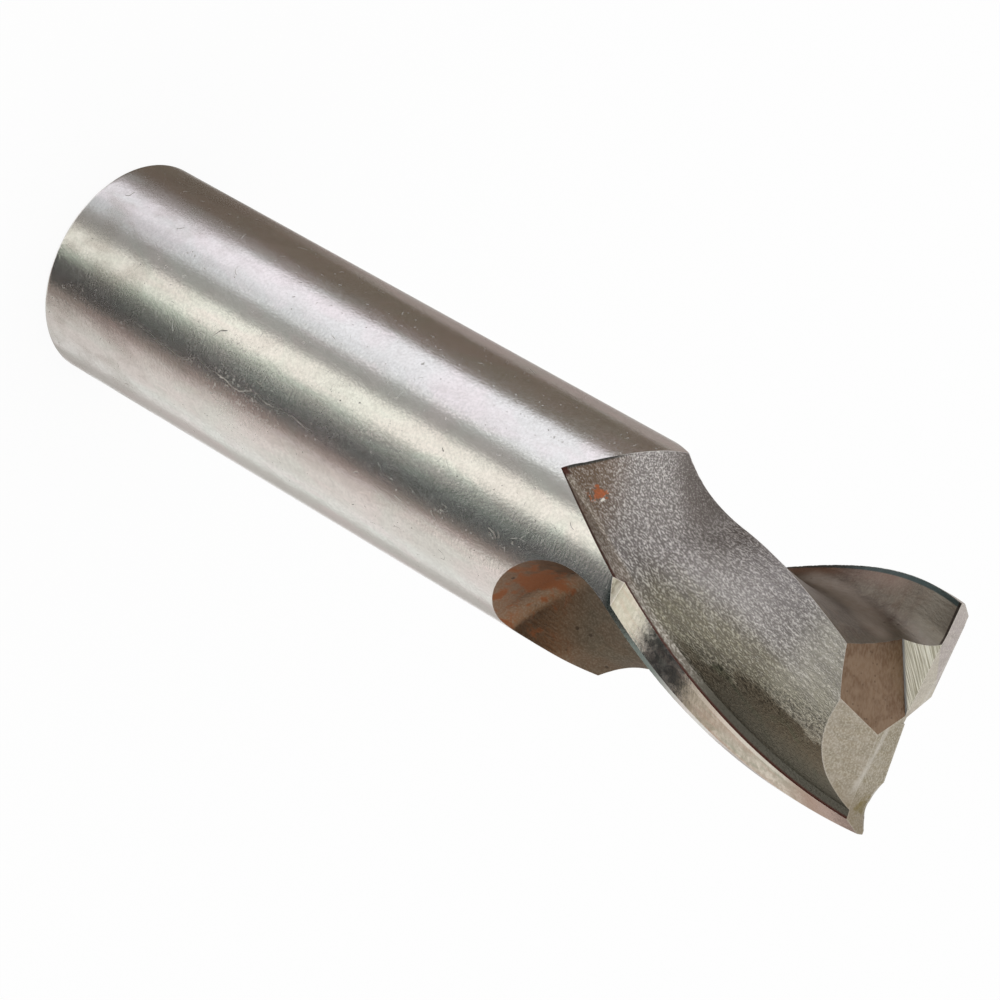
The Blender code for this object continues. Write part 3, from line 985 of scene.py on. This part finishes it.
def end_finish(name, warm, cool):
    """An end face: beige on one tooth, cooler and pinker on the other, finely speckled."""
    end = Finish(name)
    x, y, _ = end.split(end.place)
    off_edge = end.math("ABSOLUTE", y)
    speckle = end.grain(6200, 0.40, 0.68, wobble=0.1)
    lines = end.grain((2200, 420, 420), 0.4, 0.65)
    clouds = end.grain(900, 0.4, 0.65, wobble=0.8)
    first_tooth = end.fade(x, -0.0005, 0.001)
    low_part = end.fade(end.total(x, (off_edge, 1.3)), 0.0062, 0.0059)
    ridge = end.total(0.0016, (end.math("ABSOLUTE", x), 0.22))
    shine = (end.fade(end.off(off_edge, ridge), 0.00040, 0.00005), end.fade(x, -0.0078, -0.0060))
    stain = end.patch((-0.0076, 0.0010, 0.0896), 0.0010, 0.6, 1500.0)
    colour = end.lay(
        end.blend(first_tooth, warm, cool),
        (end.times(first_tooth, low_part), 1.0, (0.46, 0.415, 0.335)),
        (lines, 0.3, (0.20, 0.18, 0.14)),
        (speckle, 0.45, (0.58, 0.54, 0.45)),
        # Lightened sharp edges: partly wear, partly a painted edge highlight.
        (end.edge_wear_and_highlight(0.00020), 0.5, (0.62, 0.58, 0.50)),
        (clouds, 0.3, (0.48, 0.43, 0.37)),
        (end.times(*shine), 0.4, (0.62, 0.585, 0.53)),
        (end.fade(x, -0.0052, -0.0082), 0.55, (0.195, 0.150, 0.095)),
        (stain, 0.7, (0.17, 0.13, 0.04)),
    )
    roughness = end.total(0.38, (speckle, -0.1))
    return end.complete(colour, roughness, (speckle, 0.00003, 0.4), (lines, 0.00003, 0.3))


finishes = {
    "shank": shank_finish(),
    "land": land_finish(),
    "gullet": gullet_finish(),
    "back": back_finish(),
    "gash floor": gash_floor_finish(),
    "gash wall": gash_wall_finish(),
    "end": end_finish("end_steel", (0.265, 0.225, 0.155), (0.39, 0.335, 0.32)),
    "second end": end_finish("second_end_steel", (0.30, 0.255, 0.19), (0.39, 0.335, 0.315)),
}
tool = make_tool(finishes)
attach(tool, "root")
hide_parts("endmill")


# The camera stands where the photograph was taken from. Its lens and sensor are in millimetres.
CAMERA_PLACE = (0.07317, 0.28193, 0.23794)
CAMERA_RIGHT = (0.36402, -0.58712, 0.72303)
CAMERA_UP = (0.90658, 0.04538, -0.41959)
CAMERA_BACK = (0.21354, 0.80822, 0.54879)
LENS_LENGTH = 150.77
SENSOR_WIDTH = 36.0


def place_camera():
    """Makes the camera that looks on the tool as the photograph does."""
    lens = bpy.data.cameras.new("camera")
    lens.lens = LENS_LENGTH
    lens.sensor_width = SENSOR_WIDTH
    camera = bpy.data.objects.new("camera", lens)
    bpy.context.scene.collection.objects.link(camera)
    turn = Matrix((CAMERA_RIGHT, CAMERA_UP, CAMERA_BACK)).transposed()
    camera.matrix_world = Matrix.Translation(CAMERA_PLACE) @ turn.to_4x4()
    bpy.context.scene.camera = camera


def emission_material(name, colour):
    """A material that only glows, in one colour."""
    material = bpy.data.materials.new(name)
    material.use_nodes = True
    material.node_tree.nodes.clear()
    nodes = Nodes(material.node_tree)
    glow = nodes.add("Emission", {"Color": opaque(colour)})
    nodes.add("OutputMaterial", {"Surface": glow.outputs[0]})
    return material


# Cards round the tool, which make the bands in the polished shank. For each: the direction of
# its two sides seen from the tool, in degrees from +X, its bottom and top in metres, and its
# colour. An earlier card stands nearer the tool than a later one, and hides it there.
CARD_BOTTOM = -1.6
REAR_TOP = -0.65
MIDDLE_TOP = -0.592
LOW_TOP = -0.36
HIGH_TOP = 0.35
CARDS = (
    (-22.0, -3.0, CARD_BOTTOM, REAR_TOP, (0.32, 0.30, 0.295)),
    (-85.0, -59.0, REAR_TOP, LOW_TOP, (0.34, 0.29, 0.27)),
    (-57.0, -3.0, CARD_BOTTOM, LOW_TOP, (0.150, 0.120, 0.095)),
    (-48.0, -25.0, LOW_TOP, HIGH_TOP, (0.19, 0.16, 0.13)),
    (24.0, 42.0, CARD_BOTTOM, REAR_TOP, (0.60, 0.61, 0.64)),
    (-4.0, 38.0, CARD_BOTTOM, LOW_TOP, (0.95, 0.935, 1.0)),
    (42.0, 64.0, CARD_BOTTOM, HIGH_TOP, (0.35, 0.345, 0.33)),
    (64.0, 88.0, CARD_BOTTOM, HIGH_TOP, (1.0, 0.985, 0.90)),
    (88.0, 97.0, CARD_BOTTOM, REAR_TOP, (0.38, 0.44, 0.36)),
    (97.0, 130.0, CARD_BOTTOM, REAR_TOP, (0.062, 0.060, 0.057)),
    (88.0, 105.0, REAR_TOP, MIDDLE_TOP, (1.0, 0.985, 0.90)),
    (105.0, 113.0, REAR_TOP, MIDDLE_TOP, (0.42, 0.48, 0.42)),
    (113.0, 149.0, REAR_TOP, MIDDLE_TOP, (0.022, 0.022, 0.023)),
    (148.0, 160.0, REAR_TOP, MIDDLE_TOP, (0.21, 0.17, 0.15)),
    (85.0, 91.0, MIDDLE_TOP, LOW_TOP, (0.38, 0.44, 0.39)),
    (91.0, 132.0, MIDDLE_TOP, LOW_TOP, (0.062, 0.067, 0.066)),
    (142.0, 158.0, MIDDLE_TOP, LOW_TOP, (0.88, 0.82, 0.78)),
    (-85.0, -57.0, CARD_BOTTOM, REAR_TOP, (0.15, 0.12, 0.095)),
    (91.0, 122.0, LOW_TOP, HIGH_TOP, (0.06, 0.06, 0.065)),
    (130.0, 143.0, CARD_BOTTOM, LOW_TOP, (0.30, 0.24, 0.215)),
    (143.0, 158.0, CARD_BOTTOM, LOW_TOP, (0.64, 0.58, 0.55)),
    (122.0, 143.0, LOW_TOP, HIGH_TOP, (0.64, 0.575, 0.50)),
    (158.0, 186.0, CARD_BOTTOM, LOW_TOP, (0.73, 0.70, 0.67)),
    (186.0, 205.0, CARD_BOTTOM, LOW_TOP, (0.80, 0.80, 0.78)),
    (143.0, 197.0, LOW_TOP, HIGH_TOP, (0.82, 0.78, 0.72)),
    (205.0, 237.0, CARD_BOTTOM, HIGH_TOP, (0.50, 0.47, 0.45)),
    (263.0, 303.0, CARD_BOTTOM, HIGH_TOP, (0.50, 0.47, 0.45)),
)
CARD_DISTANCE = 0.9
CARD_GAP = 0.004
CARD_STEP = 5


def make_cards():
    """Each card is a short curved wall, a little further out than the one before it."""
    for number, (start, end, bottom, top, colour) in enumerate(CARDS):
        distance = CARD_DISTANCE + CARD_GAP * number
        steps = ceil((end - start) / CARD_STEP)
        corners = []
        for i in range(steps + 1):
            at = polar(distance, radians(start + (end - start) * i / steps))
            corners.append(Vector((at.x, at.y, bottom)))
        card = draw_line(f"card_{number + 1}", corners)
        extrude(UP * (top - bottom))
        bpy.ops.object.mode_set(mode="OBJECT")
        set_origin(card)
        card.data.materials.append(emission_material(card.name, colour))
        card.visible_camera = False
        card.visible_diffuse = False
        card.visible_shadow = False


# The floor is a plane across the whole view. The camera sees it mostly as plain white, with
# the rest matte, so that it still shows the tool's shadow.
FLOOR_SIZE = 6.0
FLOOR_GREY = 0.9
PLAIN_WHITE_SHARE = 0.9


def make_floor():
    """The white ground under the tool, which the shank's mirror doesn't show."""
    start_fresh()
    bpy.ops.mesh.primitive_plane_add(size=FLOOR_SIZE, location=(0, 0, 0))
    floor = bpy.context.object
    floor.name = "floor"
    material = bpy.data.materials.new("white_floor")
    material.use_nodes = True
    nodes = Nodes(material.node_tree)
    matte = nodes.tree.nodes["Principled BSDF"]
    plain = {"Base Color": opaque((FLOOR_GREY,) * 3), "Roughness": 0.9, "Specular IOR Level": 0.0}
    nodes.set_sockets(matte, plain)
    seen = nodes.times(nodes.add("LightPath").outputs["Is Camera Ray"], PLAIN_WHITE_SHARE)
    glow = nodes.add("Emission").outputs[0]
    mixed = nodes.add("MixShader", {0: seen, 1: matte.outputs[0], 2: glow}).outputs[0]
    nodes.set_sockets(nodes.tree.nodes["Material Output"], {"Surface": mixed})
    floor.data.materials.append(material)
    floor.visible_glossy = False


def light_room():
    """A plain white room all round, which lights the tool."""
    world = bpy.data.worlds.new("white_room")
    world.use_nodes = True
    background = world.node_tree.nodes["Background"].inputs
    background["Color"].default_value = (1, 1, 1, 1)
    background["Strength"].default_value = 1.0
    bpy.context.scene.world = world


place_camera()
make_floor()
make_cards()
light_room()
bpy.context.scene.view_settings.view_transform = "Standard"
